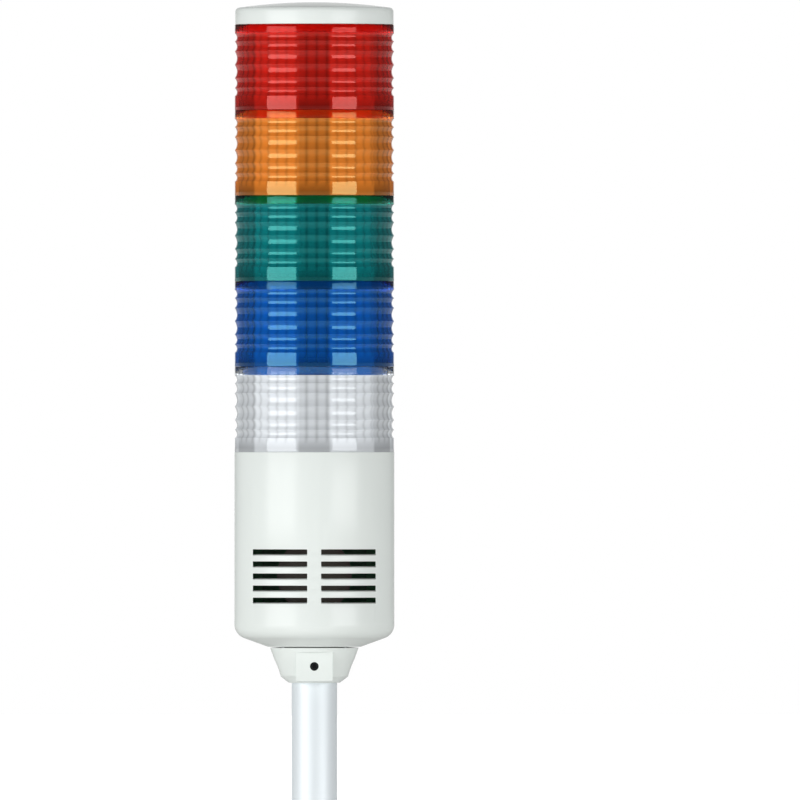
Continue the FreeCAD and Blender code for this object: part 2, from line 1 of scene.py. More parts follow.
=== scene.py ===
# %% [markdown]
# # A five-tier signal light on its folding foot
# A signal light stands on a machine and tells from across a hall whether it runs. This one has five ringed
# plastic tiers over a pale sounder body, an aluminium pole, and a black foot whose hinge a red button releases.
# The measured solids are loaded first. Everything that follows is built in their frame: metres, Z up, the front
# towards -Y, and the origin under the foot.

import math

import bmesh
import bpy
from mathutils import Matrix, Vector


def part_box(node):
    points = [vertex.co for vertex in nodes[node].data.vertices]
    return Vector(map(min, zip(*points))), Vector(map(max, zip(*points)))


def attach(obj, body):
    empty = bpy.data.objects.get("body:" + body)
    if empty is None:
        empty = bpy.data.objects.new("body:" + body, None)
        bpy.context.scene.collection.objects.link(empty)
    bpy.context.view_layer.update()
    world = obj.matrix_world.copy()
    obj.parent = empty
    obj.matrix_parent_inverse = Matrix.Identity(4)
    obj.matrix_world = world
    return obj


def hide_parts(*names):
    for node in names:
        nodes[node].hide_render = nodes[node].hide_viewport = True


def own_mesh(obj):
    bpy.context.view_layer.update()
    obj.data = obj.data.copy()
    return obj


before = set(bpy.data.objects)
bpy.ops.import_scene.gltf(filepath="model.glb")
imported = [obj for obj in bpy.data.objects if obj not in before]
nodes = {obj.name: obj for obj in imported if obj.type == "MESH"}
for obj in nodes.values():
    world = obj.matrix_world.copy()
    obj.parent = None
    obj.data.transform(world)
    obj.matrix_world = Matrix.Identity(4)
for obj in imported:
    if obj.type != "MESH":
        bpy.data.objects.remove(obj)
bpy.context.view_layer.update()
scene = bpy.context.scene
mm = 0.001
tiers = ("clear", "blue", "green", "amber", "red")

# %% [markdown]
# ## The camera
# The light was photographed level and from far away: its rings stay straight lines from top to bottom. A very
# long lens at twelve metres does the same. The tower stands left of the picture's middle, so the camera stands
# to the right of it and looks straight ahead, which needs no lens shift.

# %% Camera
view_centre_height = 414.0 * mm
tower_left_of_centre = 32.1 * mm
camera_distance = 12.0
picture_width = 300.0 * mm
camera_data = bpy.data.cameras.new("camera")
camera_data.sensor_width = 36.0
camera_data.lens = camera_data.sensor_width * camera_distance / picture_width
camera = bpy.data.objects.new("camera", camera_data)
camera.location = (tower_left_of_centre, -camera_distance, view_centre_height)
camera.rotation_euler = (math.radians(90), 0, 0)
scene.collection.objects.link(camera)
scene.camera = camera
print("lens in mm:", round(camera_data.lens))

# %% [markdown]
# ## Colours and shader nodes
# A few small helpers carry every material in this file. The first turns a colour as a picture editor shows it
# into the linear numbers that light is counted in. The second adds one shader node: plain values go into its
# sockets, and another node's output becomes a link. The third starts a material with one Principled shader. Two
# more give what hardly any real surface lacks: a fine grain, and a gloss that drifts a little from patch to patch.

# %% Helpers for materials
def linear(hex_colour):
    """An sRGB colour such as "c82a1e" as linear red, green, blue and a full alpha."""
    channels = [int(hex_colour[i:i + 2], 16) / 255 for i in (0, 2, 4)]
    return tuple(c / 12.92 if c <= 0.04045 else ((c + 0.055) / 1.055) ** 2.4 for c in channels) + (1.0,)


def add(tree, kind, inputs=None, **settings):
    """Adds one shader node with its settings, socket values and links."""
    node = tree.nodes.new(kind)
    for setting, value in settings.items():
        setattr(node, setting, value)
    for socket, value in (inputs or {}).items():
        if isinstance(value, bpy.types.NodeSocket):
            tree.links.new(value, node.inputs[socket])
        else:
            node.inputs[socket].default_value = value
    return node


def new_material(name, inputs):
    """A material with one Principled shader, returned with its tree, the shader and the output."""
    material = bpy.data.materials.new(name)
    material.use_nodes = True
    tree = material.node_tree
    tree.nodes.clear()
    shader = add(tree, "ShaderNodeBsdfPrincipled", inputs)
    output = add(tree, "ShaderNodeOutputMaterial", {"Surface": shader.outputs["BSDF"]})
    return material, tree, shader, output


def grained(tree, shader, grain_size, depth, strength, detail=2.0):
    """Gives a surface a fine uneven grain; both lengths are real ones, in metres."""
    place = add(tree, "ShaderNodeTexCoord").outputs["Object"]
    grain = add(tree, "ShaderNodeTexNoise", {"Vector": place, "Scale": 1 / grain_size, "Detail": detail})
    bump = add(tree, "ShaderNodeBump", {"Height": grain.outputs["Fac"], "Strength": strength, "Distance": depth})
    tree.links.new(bump.outputs["Normal"], shader.inputs["Normal"])
    return place


def patchy_gloss(tree, shader, place, patch_size, low, high):
    """Lets the roughness drift between two values in patches."""
    patches = add(tree, "ShaderNodeTexNoise", {"Vector": place, "Scale": 1 / patch_size, "Detail": 3.0})
    roughness = add(
        tree, "ShaderNodeMapRange",
        {"Value": patches.outputs["Fac"], "From Min": 0.3, "From Max": 0.7, "To Min": low, "To Max": high},
    )
    tree.links.new(roughness.outputs["Result"], shader.inputs["Roughness"])


print("white as linear light:", linear("ffffff")[:3])

# %% [markdown]
# ## The room
# The picture was taken in a white room. What the camera sees behind the light is plain white. A glossy surface
# must not mirror that white from all sides, or the tiers would look milky: only what lies straight behind the
# light, which shows at its very edges, is white to a reflection, and the rest of the room is dim. Light that has
# gone through a tier sees the white backdrop, or the darker side of the room where the camera stands, which is
# why each tier is darkest in its middle. Everything else gets a soft fill, stronger from behind and above, as
# from a white backdrop and ceiling.

# %% World
world = bpy.data.worlds.new("white_room")
world.use_nodes = True
scene.world = world
tree = world.node_tree
tree.nodes.clear()
direction = add(tree, "ShaderNodeTexCoord").outputs["Generated"]
dim_room = 0.08
backdrop_edge, backdrop_full = 0.94, 0.995
straight_behind = add(tree, "ShaderNodeVectorMath", {0: direction, 1: (0, 1, 0)}, operation="DOT_PRODUCT")
mirrored_room = add(
    tree, "ShaderNodeMapRange",
    {
        "Value": straight_behind.outputs["Value"], "From Min": backdrop_edge, "From Max": backdrop_full,
        "To Min": dim_room,
    },
    interpolation_type="SMOOTHSTEP",
)
front_fill = 0.24
back_fill = 1.35
behind_and_above = add(tree, "ShaderNodeVectorMath", {0: direction, 1: (0, 0.7, 0.7)}, operation="DOT_PRODUCT")
fill = add(
    tree, "ShaderNodeMapRange",
    {
        "Value": behind_and_above.outputs["Value"], "From Min": 0.35, "From Max": 1.0, "To Min": front_fill,
        "To Max": back_fill,
    },
)
camera_side = 0.8
behind_glass = 2.0
seen_through = add(
    tree, "ShaderNodeMapRange",
    {
        "Value": straight_behind.outputs["Value"], "From Min": -0.9, "From Max": -0.1, "To Min": camera_side,
        "To Max": behind_glass,
    },
)
path = add(tree, "ShaderNodeLightPath")
light = add(
    tree, "ShaderNodeMix",
    {"Factor": path.outputs["Is Glossy Ray"], "A": fill.outputs["Result"], "B": mirrored_room.outputs["Result"]},
)
light = add(
    tree, "ShaderNodeMix",
    {"Factor": path.outputs["Is Transmission Ray"], "A": light.outputs[0], "B": seen_through.outputs["Result"]},
)
light = add(tree, "ShaderNodeMix", {"Factor": path.outputs["Is Camera Ray"], "A": light.outputs[0], "B": 1.0})
sky = add(tree, "ShaderNodeBackground", {"Color": linear("ffffff"), "Strength": light.outputs[0]})
add(tree, "ShaderNodeOutputWorld", {"Surface": sky.outputs["Background"]})
scene.view_settings.view_transform = "Standard"
print("fill from the front", front_fill, "and from behind", back_fill)

# %% [markdown]
# ## Two soft boxes
# The bright upright bands on every tier are the mirror images of two soft boxes. A band's edges give the boxes'
# edges: on a round body a normal 24 degrees off the camera mirrors what stands 48 degrees off it. The left box
# is the larger and stronger one, so the body darkens towards its right side.

# %% Soft boxes
def soft_box(name, place, size, radiance, aim):
    """A rectangular lamp that faces a point; radiance 1 looks as bright as white paper."""
    data = bpy.data.lights.new(name, "AREA")
    data.shape = "RECTANGLE"
    data.size, data.size_y = size
    data.energy = radiance * math.pi * size[0] * size[1]
    lamp = bpy.data.objects.new(name, data)
    lamp.location = place
    lamp.rotation_euler = (Vector(aim) - Vector(place)).to_track_quat("-Z", "Y").to_euler()
    lamp.visible_camera = False
    scene.collection.objects.link(lamp)


box_distance = 1.2
box_height = 0.42
for name, degrees, size, radiance in (
    ("left_box", -49.0, (1.02, 0.82), 3.5),
    ("right_box", 44.7, (0.81, 0.64), 3.6),
):
    angle = math.radians(degrees)
    place = (box_distance * math.sin(angle), -box_distance * math.cos(angle), box_height)
    soft_box(name, place, size, radiance, (0, 0, box_height))
    print(name, "stands", degrees, "degrees from the camera")

# %% [markdown]
# ## The floor
# The floor is matt white paper. Its diffuse part shows the light's soft shadow, and a little glow that only the
# camera sees lifts the lit part to plain white. The glow is weaker near the light, so that the shadow stays. The
# paper's felt gives it a faint unevenness.

# %% Floor
floor_radius = 30.0
near_glow, far_glow = 0.52, 0.8
shadow_start, shadow_end = 0.1, 0.9
bm = bmesh.new()
bmesh.ops.create_circle(bm, cap_ends=True, segments=96, radius=floor_radius)
mesh = bpy.data.meshes.new("floor")
bm.to_mesh(mesh)
bm.free()
floor = bpy.data.objects.new("floor", mesh)
scene.collection.objects.link(floor)
paper, tree, shader, output = new_material(
    "matt_white_paper", {"Base Color": linear("c9c9c7"), "Roughness": 0.9, "Emission Color": linear("ffffff")}
)
place = add(tree, "ShaderNodeTexCoord").outputs["Object"]
distance = add(tree, "ShaderNodeVectorMath", {0: place}, operation="LENGTH")
glow_by_distance = add(
    tree, "ShaderNodeMapRange",
    {
        "Value": distance.outputs["Value"], "From Min": shadow_start, "From Max": shadow_end, "To Min": near_glow,
        "To Max": far_glow,
    },
    interpolation_type="SMOOTHSTEP",
)
path = add(tree, "ShaderNodeLightPath")
glow = add(
    tree, "ShaderNodeMath", {0: path.outputs["Is Camera Ray"], 1: glow_by_distance.outputs["Result"]},
    operation="MULTIPLY",
)
tree.links.new(glow.outputs[0], shader.inputs["Emission Strength"])
felt_size = 3.0 * mm
felt = add(tree, "ShaderNodeTexNoise", {"Vector": place, "Scale": 1 / felt_size})
bump = add(tree, "ShaderNodeBump", {"Height": felt.outputs["Fac"], "Strength": 0.05, "Distance": 0.1 * mm})
tree.links.new(bump.outputs["Normal"], shader.inputs["Normal"])
mesh.materials.append(paper)
print("floor radius in m:", floor_radius)

# %% [markdown]
# ## Dyed polycarbonate
# The tiers are moulded from polycarbonate with dye in it. Two things happen to light in such a wall. Some of it
# is scattered near the outer face and comes back saturated. The rest goes on through, and is filtered by the dye
# over the length that it travels, so light that runs along the wall, at the tier's sides, comes out darkest. Flow
# marks of the moulding make the face very slightly uneven.
#
# The scatter is a share of the Principled shader's diffuse part, and the filter is a volume absorption worked out
# from the colour that white light has after one wall. Both face pairs of the wall mirror the room together, so
# the specular level is twice that of a single face. Two attributes of the mesh steer the shader. "haze" is 1 on
# outer faces, more on the thick collar, and 0 inside and on the plain top band, where the mould was polished.
# "painted_shade" is painted shade that darkens the colour: dark upright lines along the sharp valleys between the
# flutes, a darker band over the thick ledge, where the thicker wall also holds more dye, and a darker upright
# stripe in front of each of the six boards of the post inside.

# %% Polycarbonate
wall_thickness = 2.15 * mm
flow_mark = 3.0 * mm
# Per colour: scattered, mirrored and filtered colour, share of scatter, and how much of the scattered colour painted
# shade leaves.
lens_colours = {
    "red": ("f22a1d", "ff9690", "f6503e", 0.6, 0.12),
    "amber": ("ff9334", "ffeaa0", "fcc47c", 0.78, 0.12),
    "green": ("109ca2", "80fff4", "48d0c4", 0.5, 0.12),
    "blue": ("1074e0", "94eaff", "54b0f0", 0.52, 0.12),
    "clear": ("f5faff", "d0d4d8", "fbfdff", 0.88, 0.32),
}


def lens_material(colour):
    """Polycarbonate with its scattered, mirrored and filtered colours, share of scatter, and colour left under
    painted shade.
    """
    scattered, mirrored, filtered, scatter_share, left_in_shade = lens_colours[colour]
    material, tree, shader, output = new_material(
        "dyed_polycarbonate_" + colour,
        {"Roughness": 0.05, "IOR": 1.585, "Specular Tint": linear(mirrored), "Specular IOR Level": 1.0},
    )
    haze = add(tree, "ShaderNodeAttribute", attribute_name="haze").outputs["Fac"]
    scatter = add(tree, "ShaderNodeMath", {0: haze, 1: scatter_share}, operation="MULTIPLY")
    clear_share = add(tree, "ShaderNodeMath", {0: 1.0, 1: scatter.outputs[0]}, operation="SUBTRACT", use_clamp=True)
    tree.links.new(clear_share.outputs[0], shader.inputs["Transmission Weight"])
    dyed = add(tree, "ShaderNodeMapRange", {"Value": haze, "From Max": 0.2})
    surface = add(
        tree, "ShaderNodeMix", {"Factor": dyed.outputs["Result"], "A": linear("ffffff"), "B": linear(scattered)},
        data_type="RGBA",
    )
    # Painted shade: where the attribute is high, the colour is mixed towards a darker copy of the scattered colour.
    painted_shade = add(tree, "ShaderNodeAttribute", attribute_name="painted_shade").outputs["Fac"]
    shaded = [left_in_shade * channel for channel in linear(scattered)[:3]] + [1.0]
    surface = add(tree, "ShaderNodeMix", {"Factor": painted_shade, "A": surface.outputs[2], "B": shaded}, data_type="RGBA")
    tree.links.new(surface.outputs[2], shader.inputs["Base Color"])
    grained(tree, shader, flow_mark, 0.02 * mm, 0.06)
    losses = [-math.log(max(channel, 0.01)) / wall_thickness for channel in linear(filtered)[:3]]
    density = max(losses)
    left_over = [1 - loss / density for loss in losses] + [1.0]
    absorption = add(tree, "ShaderNodeVolumeAbsorption", {"Color": left_over, "Density": density})
    tree.links.new(absorption.outputs["Volume"], output.inputs["Volume"])
    print(colour, "dye takes up to", round(density * mm, 2), "per mm")
    return material


dyed_polycarbonate = {colour: lens_material(colour) for colour in tiers}

# %% [markdown]
# ## Clear acrylic
# Between the diodes and each lens stands a clear tube. Its faces are plain and polished, so a transmitting
# shader with the index of acrylic is enough, with the faint waviness of an extruded tube.

# %% Clear acrylic
clear_acrylic, tree, shader, output = new_material(
    "extruded_clear_acrylic",
    {"Base Color": linear("ffffff"), "Roughness": 0.08, "IOR": 1.49, "Transmission Weight": 1.0},
)
place = add(tree, "ShaderNodeTexCoord").outputs["Object"]
wave_length = 4.0 * mm
waves = add(tree, "ShaderNodeTexNoise", {"Vector": place, "Scale": 1 / wave_length, "Detail": 1.0})
bump = add(tree, "ShaderNodeBump", {"Height": waves.outputs["Fac"], "Strength": 0.2, "Distance": 0.05 * mm})
tree.links.new(bump.outputs["Normal"], shader.inputs["Normal"])
print("acrylic waves in mm:", round(wave_length / mm, 1))

# %% [markdown]
# ## Pale ABS
# Cap, body and holder are injection-moulded ABS in a pale grey-white. The mould was polished, so the face is
# glossy, with a very fine unevenness, and handling leaves it a little duller in patches.

# %% Pale ABS
pale_abs, tree, shader, output = new_material(
    "moulded_pale_abs", {"Base Color": linear("e9efec"), "IOR": 1.54, "Specular IOR Level": 0.32}
)
place = grained(tree, shader, 0.6 * mm, 0.05 * mm, 0.04)
patchy_gloss(tree, shader, place, 30.0 * mm, 0.22, 0.25)
print("ABS index:", round(shader.inputs["IOR"].default_value, 2))

# %% [markdown]
# ## Metals
# The pole is drawn aluminium with a satin clear anodising, so it is bright but soft, with faint draw lines along
# its length. The small screws, rods and the hinge pin are zinc-plated steel, which is duller and mottled.

# %% Metals
anodised, tree, shader, output = new_material(
    "satin_anodised_aluminium", {"Base Color": linear("eff6fa"), "Metallic": 0.25, "Roughness": 0.52}
)
place = add(tree, "ShaderNodeTexCoord").outputs["Object"]
line_spacing = 0.35 * mm
line_length = 60.0 * mm
along = add(
    tree, "ShaderNodeMapping", {"Vector": place, "Scale": (1 / line_spacing, 1 / line_spacing, 1 / line_length)}
)
lines = add(tree, "ShaderNodeTexNoise", {"Vector": along.outputs["Vector"], "Scale": 1.0, "Detail": 2.0})
bump = add(tree, "ShaderNodeBump", {"Height": lines.outputs["Fac"], "Strength": 0.12, "Distance": 0.02 * mm})
tree.links.new(bump.outputs["Normal"], shader.inputs["Normal"])
zinc, tree, shader, output = new_material(
    "zinc_plated_steel", {"Base Color": linear("b9bcbe"), "Metallic": 1.0}
)
place = grained(tree, shader, 0.5 * mm, 0.02 * mm, 0.3)
patchy_gloss(tree, shader, place, 2.0 * mm, 0.25, 0.45)
black_oxide, tree, shader, output = new_material(
    "black_oxide_steel", {"Base Color": linear("2c2e30"), "Metallic": 0.8}
)
place = grained(tree, shader, 0.5 * mm, 0.02 * mm, 0.3)
patchy_gloss(tree, shader, place, 2.0 * mm, 0.35, 0.5)
print("draw lines", round(line_spacing / mm, 2), "mm apart")

# %% [markdown]
# ## Black nylon, rubber and the red button
# Bracket, arm and barrel cap are glass-filled nylon. The short fibres near the skin give it a satin, slightly
# rough face. The pad under the foot is matt rubber, and the button is glossy red ABS.

# %% Black nylon, rubber and red ABS
black_nylon, tree, shader, output = new_material(
    "glass_filled_black_nylon", {"Base Color": linear("2b302e"), "IOR": 1.53}
)
place = grained(tree, shader, 0.45 * mm, 0.05 * mm, 0.25, 3.0)
patchy_gloss(tree, shader, place, 9.0 * mm, 0.34, 0.46)
rubber, tree, shader, output = new_material(
    "moulded_black_rubber", {"Base Color": linear("1e1f1f"), "IOR": 1.52}
)
place = grained(tree, shader, 0.3 * mm, 0.05 * mm, 0.4)
patchy_gloss(tree, shader, place, 6.0 * mm, 0.7, 0.9)
button_red, tree, shader, output = new_material(
    "gloss_red_abs", {"Base Color": linear("ec2a22"), "IOR": 1.54}
)
place = grained(tree, shader, 0.5 * mm, 0.03 * mm, 0.06)
patchy_gloss(tree, shader, place, 5.0 * mm, 0.18, 0.3)
print("materials so far:", len(bpy.data.materials))

# %% [markdown]
# ## Boards and small mouldings
# The boards inside are glass-epoxy with solder mask, white round the diodes, where it throws light forward, and
# green in the body. Copper tracks under the green mask show as slightly lighter straight patches.

# %% Boards and mouldings
white_board, tree, shader, output = new_material("white_solder_mask", {"Base Color": linear("f0f2f0")})
place = grained(tree, shader, 0.4 * mm, 0.02 * mm, 0.2)
patchy_gloss(tree, shader, place, 5.0 * mm, 0.35, 0.5)
green_board, tree, shader, output = new_material("green_solder_mask", {})
place = grained(tree, shader, 0.4 * mm, 0.02 * mm, 0.2)
patchy_gloss(tree, shader, place, 5.0 * mm, 0.3, 0.45)
track_width = 1.2 * mm
tracks = add(
    tree, "ShaderNodeTexBrick",
    {"Vector": place, "Color1": linear("1c5230"), "Color2": linear("2a6a3e"), "Mortar": linear("174527"),
     "Scale": 1.0, "Mortar Size": 0.2 * mm, "Brick Width": 8 * track_width, "Row Height": track_width},
)
tree.links.new(tracks.outputs["Color"], shader.inputs["Base Color"])
black_moulding, tree, shader, output = new_material("black_abs", {"Base Color": linear("4c463f"), "IOR": 1.54})
place = grained(tree, shader, 0.5 * mm, 0.04 * mm, 0.2)
patchy_gloss(tree, shader, place, 6.0 * mm, 0.4, 0.55)
green_moulding, tree, shader, output = new_material("green_polyamide", {"Base Color": linear("2f7d45"), "IOR": 1.53})
place = grained(tree, shader, 0.5 * mm, 0.04 * mm, 0.2)
patchy_gloss(tree, shader, place, 6.0 * mm, 0.4, 0.55)
print("track width in mm:", round(track_width / mm, 1))

# %% [markdown]
# ## Measured pieces that stay
# Many small pieces are right as they were measured. They keep their solids and only get their finish.

# %% Finishes for measured pieces
carried = {
    "base_gasket": rubber, "pivot_pin": zinc, "button_spring": zinc, "arm_set_screw": zinc,
    "pole_set_screw": zinc, "holder_screws": zinc, "control_board": green_board, "buzzer": black_moulding,
    "terminal_block": green_moulding, "chassis_plate": pale_abs, "base_socket": pale_abs, "tie_rods": zinc,
    "clamp_plate": zinc, "clamp_nuts": zinc, "release_button": button_red, "base_bracket": black_nylon,
    "barrel_cap": black_nylon, "fold_arm": black_nylon, "pole": anodised,
}
for tier in tiers:
    carried["led_board_" + tier] = white_board
    carried["led_post_" + tier] = white_board
for name, material in carried.items():
    nodes[name].material_slots[0].material = material
print("measured pieces with a finish of their own:", len(carried))

# %% [markdown]
# ## Turned shapes
# Most of this light is round. Its pieces are drawn as half an outline and spun about the upright axis, the way
# a lathe would turn them, which keeps every ring true and gives an even mesh. A second helper rounds the sharp
# edges, because a moulded edge always catches a thin line of light, and a third makes the mesh a piece.

# %% Helpers for meshes
def turned(outline, steps):
    """Spins a closed outline of (radius, height) points in mm a full turn about Z."""
    bm = bmesh.new()
    corners = [bm.verts.new((radius * mm, 0, height * mm)) for radius, height in outline]
    edges = [bm.edges.new(pair) for pair in zip(corners, corners[1:] + corners[:1])]
    bmesh.ops.spin(
        bm, geom=corners + edges, cent=(0, 0, 0), axis=(0, 0, 1), angle=math.tau, steps=steps, use_merge=True
    )
    bmesh.ops.remove_doubles(bm, verts=bm.verts, dist=0.001 * mm)
    bmesh.ops.dissolve_degenerate(bm, edges=bm.edges, dist=0.0005 * mm)
    bmesh.ops.recalc_face_normals(bm, faces=bm.faces)
    return bm


def soften(bm, width, over_degrees=35.0, segments=2):
    """Bevels the edges where two faces meet more sharply than an angle."""
    limit = math.radians(over_degrees)
    sharp = [edge for edge in bm.edges if len(edge.link_faces) == 2 and edge.calc_face_angle() > limit]
    bmesh.ops.bevel(
        bm, geom=sharp, offset=width * mm, offset_type="OFFSET", segments=segments, profile=0.5,
        affect="EDGES", material=-1, clamp_overlap=True,
    )


def finished(bm, name, material, body, replaced=(), sharp_degrees=30.0):
    """Makes the mesh an object that rides on a body and stands for its measured nodes."""
    mesh = bpy.data.meshes.new(name)
    bm.to_mesh(mesh)
    bm.free()
    mesh.materials.append(material)
    mesh.shade_smooth()
    mesh.set_sharp_from_angle(angle=math.radians(sharp_degrees))
    piece = bpy.data.objects.new(name, mesh)
    scene.collection.objects.link(piece)
    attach(piece, body)
    if replaced:
        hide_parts(*replaced)
    print(name, "has", len(mesh.polygons), "faces")
    return piece


def arc(centre_radius, centre_height, radius, start, end, points):
    """Points on an arc of an outline; angles in degrees from the outward direction, upwards positive."""
    angles = [math.radians(start + (end - start) * i / points) for i in range(points + 1)]
    return [(centre_radius + radius * math.cos(a), centre_height + radius * math.sin(a)) for a in angles]


print("a quarter arc of radius 1 starts at", arc(0, 0, 1, 0, 90, 4)[0])

# %% [markdown]
# ## The ringed tiers
# Each tier is a plain band, six hollow rings between sharp ridges, and another plain band. Its inner wall is
# fluted: upright ribs like small half-round lenses spread the light, and along the valleys between them painted
# shade draws dark upright lines. A collar below plugs into the next tier, where its colour shows through the plain
# band. One outline is spun for all of it, with eight steps to a rib, and the same mesh serves for all five tiers.

# %% One ringed tier's outline
lens_radius = 29.9
lens_bore = 27.75
collar_radius = 27.6
collar_bore = 24.2
collar_depth = 3.8
ledge_height = 1.5
ring_heights = (3.1, 3.7, 5.0, 5.0, 3.7, 3.1)
ring_depth = 0.8
top_band = 3.2
seam = 0.05
rib_end_gap, smooth_end_gap = 0.6, 0.2
rib_count = 48
steps_per_rib = 8


def hollow_ring(low, high, points=6):
    """Points up one hollow ring, from its lower ridge to just before the upper one."""
    half = (high - low) / 2
    arc_radius = (half ** 2 + ring_depth ** 2) / (2 * ring_depth)
    reach = math.asin(half / arc_radius)
    centre = lens_radius - ring_depth + arc_radius
    angles = [-reach + 2 * reach * i / points for i in range(points)]
    return [(centre - arc_radius * math.cos(a), (low + high) / 2 + arc_radius * math.sin(a)) for a in angles]


low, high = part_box("lens_clear")
bottom, top = low.z / mm + collar_depth, high.z / mm
height = top - top_band - sum(ring_heights)
outline = [
    (collar_bore, bottom - collar_depth), (collar_radius, bottom - collar_depth), (collar_radius, bottom),
    (lens_radius, bottom), (lens_radius, bottom + ledge_height), (lens_radius, bottom + 2 * ledge_height),
]
for ring in ring_heights:
    outline += hollow_ring(height, height + ring)
    height += ring
outline += [
    (lens_radius, height), (lens_radius, top - seam), (lens_bore, top - seam),
    (lens_bore, top - collar_depth - smooth_end_gap), (lens_bore, top - collar_depth - rib_end_gap),
    (lens_bore, bottom + ledge_height), (collar_bore, bottom + ledge_height),
]
ringed = turned(outline, rib_count * steps_per_rib)
soften(ringed, 0.12)
print("the outline has", len(outline), "points")

# %% [markdown]
# ## Flutes, haze and painted shade
# The spun tier is still smooth inside. Each point of the inner wall is drawn inwards by a sine of its angle, so
# that the valleys stay where they are and the ribs rise between them. The same angles serve to paint the two
# attributes that the polycarbonate reads, once for the whole mesh: how hazy the face is, and where painted shade
# darkens its colour. They are worked out from the shape alone, so they stay right from every side.

# %% Flutes, haze and painted shade
rib_depth = 0.35
first_valley = 1.875
valley_sharpness = 1.3
flute_shadow = 0.3
ledge_shadow = 0.4
ledge_zone = 5.0
ledge_fade = 1.5
# Painted shade in front of the post's boards: how dark the upright stripes are, how far apart, and how wide.
painted_board_shadow = 0.38
board_spacing = 60
board_half_width = 11.5
collar_haze = 1.6
haze = ringed.verts.layers.float.new("haze")
painted_shade = ringed.verts.layers.float.new("painted_shade")
for vert in ringed.verts:
    radius = vert.co.xy.length / mm
    height = vert.co.z / mm
    on_collar = height < bottom - 0.05 and radius > collar_bore + 1.0
    on_wall = bottom - 0.05 < height < top - top_band - 0.05 and radius > lens_bore + 0.3
    on_bore = abs(radius - lens_bore) < 0.01 and bottom + ledge_height < height < top - collar_depth - 0.5
    degrees = math.degrees(math.atan2(vert.co.x, -vert.co.y))
    # Painted shade: a darker upright stripe in front of each board of the post, fading out at its edges.
    from_board = abs((degrees + board_spacing / 2) % board_spacing - board_spacing / 2)
    behind = painted_board_shadow * min(1.0, max(0.0, (board_half_width + 1 - from_board) / 2))
    flute = abs(math.sin(math.radians(degrees - first_valley) * rib_count / 2))
    valley = max(0.0, 1 - valley_sharpness * flute)
    above_ledge = (height - bottom) / ledge_height
    vert[haze] = collar_haze if on_collar else float(on_wall)
    if on_collar:
        vert[painted_shade] = behind
    # Above the ledge, the flute valleys get painted shade as thin dark upright lines, on top of the board stripes.
    elif on_wall and height > bottom + ledge_zone:
        vert[painted_shade] = behind + flute_shadow * valley
    # Over the thick ledge, painted shade darkens the tier towards its foot, where the thicker wall also holds more
    # dye.
    elif on_wall:
        vert[painted_shade] = behind + ledge_shadow * min(1.0, max(0.0, 2 - above_ledge / ledge_fade))
    # On the fluted bore, painted shade follows each valley, and the ribs are drawn inwards.
    elif on_bore:
        vert[painted_shade] = valley
        vert.co.xy *= 1 - rib_depth * flute / lens_bore
pattern = bpy.data.meshes.new("ringed_pattern")
ringed.to_mesh(pattern)
ringed.free()
print("one tier has", len(pattern.polygons), "faces")

# %% [markdown]
# The other four tiers are the same moulding, one pitch higher each. Each gets its own copy of the mesh, so that
# its place is in the mesh and the object itself stays at the origin.

# %% All five tiers
for colour in tiers:
    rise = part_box("lens_" + colour)[0].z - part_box("lens_clear")[0].z
    bm = bmesh.new()
    bm.from_mesh(pattern)
    bmesh.ops.translate(bm, verts=bm.verts, vec=(0, 0, rise))
    finished(
        bm, "ringed_tier_" + colour, dyed_polycarbonate[colour], "mast", ["lens_" + colour], 25.0
    )
bpy.data.meshes.remove(pattern)

# %% [markdown]
# ## The clear inner tubes
# Each tube stands between two boards, and has one upright seam in front, where a small ridge keeps it from
# turning. The seam shows through the lens as a dark upright line.

# %% Inner tubes
tube_radius = 20.5
tube_wall = 1.3
seam_angle = math.radians(4.0)
seam_half_width = math.radians(1.6)
seam_height = 0.5
for colour in tiers:
    low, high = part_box("diffuser_" + colour)
    bm = turned([
        (tube_radius, low.z / mm), (tube_radius, high.z / mm),
        (tube_radius - tube_wall, high.z / mm), (tube_radius - tube_wall, low.z / mm),
    ], 180)
    for vert in bm.verts:
        turn = math.atan2(vert.co.x, -vert.co.y) - seam_angle
        if abs(turn) < seam_half_width and vert.co.xy.length > (tube_radius - 0.1) * mm:
            vert.co.xy *= 1 + seam_height / tube_radius
    finished(bm, "inner_tube_" + colour, clear_acrylic, "mast", ["diffuser_" + colour])

# %% [markdown]
# ## The sounder body
# The body is a cup with a sloping floor. Ten slots let the sound out, and shallow grooves join each pair across
# the middle. The outline has points at the slots' edges, so that the spun mesh has rings there, and each slot is
# simply a group of its faces. In the outer wall the rings lie a little lower, because the slots slope down to the
# outside and keep water out.

# %% Sounder body
body_radius = 30.0
body_wall = 2.2
floor_thickness = 2.5
flat_radius = 17.5
bore_radius = 10.55
floor_round = 1.0
floor_slope = math.tan(math.radians(20.0))
corner_radius = 5.5
corner_rise = math.tan(math.radians(35.0))
slot_rows = 5
slot_pitch = 4.52
first_slot = 37.3
slot_height = 2.2
slot_drop = 0.25
degrees_per_step = 2.5
low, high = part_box("body_housing")
bottom, top = low.z / mm, high.z / mm
slot_middles = [top - first_slot - slot_pitch * row for row in range(slot_rows)]
outer_corner = bottom + (body_radius - flat_radius) * floor_slope
rise = corner_radius * corner_rise
outline = [(bore_radius, bottom)]
outline += arc(flat_radius - 0.18, bottom + floor_round, floor_round, -90, -70, 3)
outline += arc(body_radius - corner_radius, outer_corner + rise, corner_radius, -70, 0, 10)
for middle in reversed(slot_middles):
    for offset in (-slot_height / 2, 0, slot_height / 2):
        outline.append((body_radius, middle + offset - slot_drop))
outline += [(body_radius, top), (body_radius - body_wall, top)]
for middle in slot_middles:
    outline += [
        (body_radius - body_wall, middle + slot_height / 2 + slot_drop),
        (body_radius - body_wall, middle - slot_height / 2 + slot_drop),
    ]
inner_radius = body_radius - body_wall
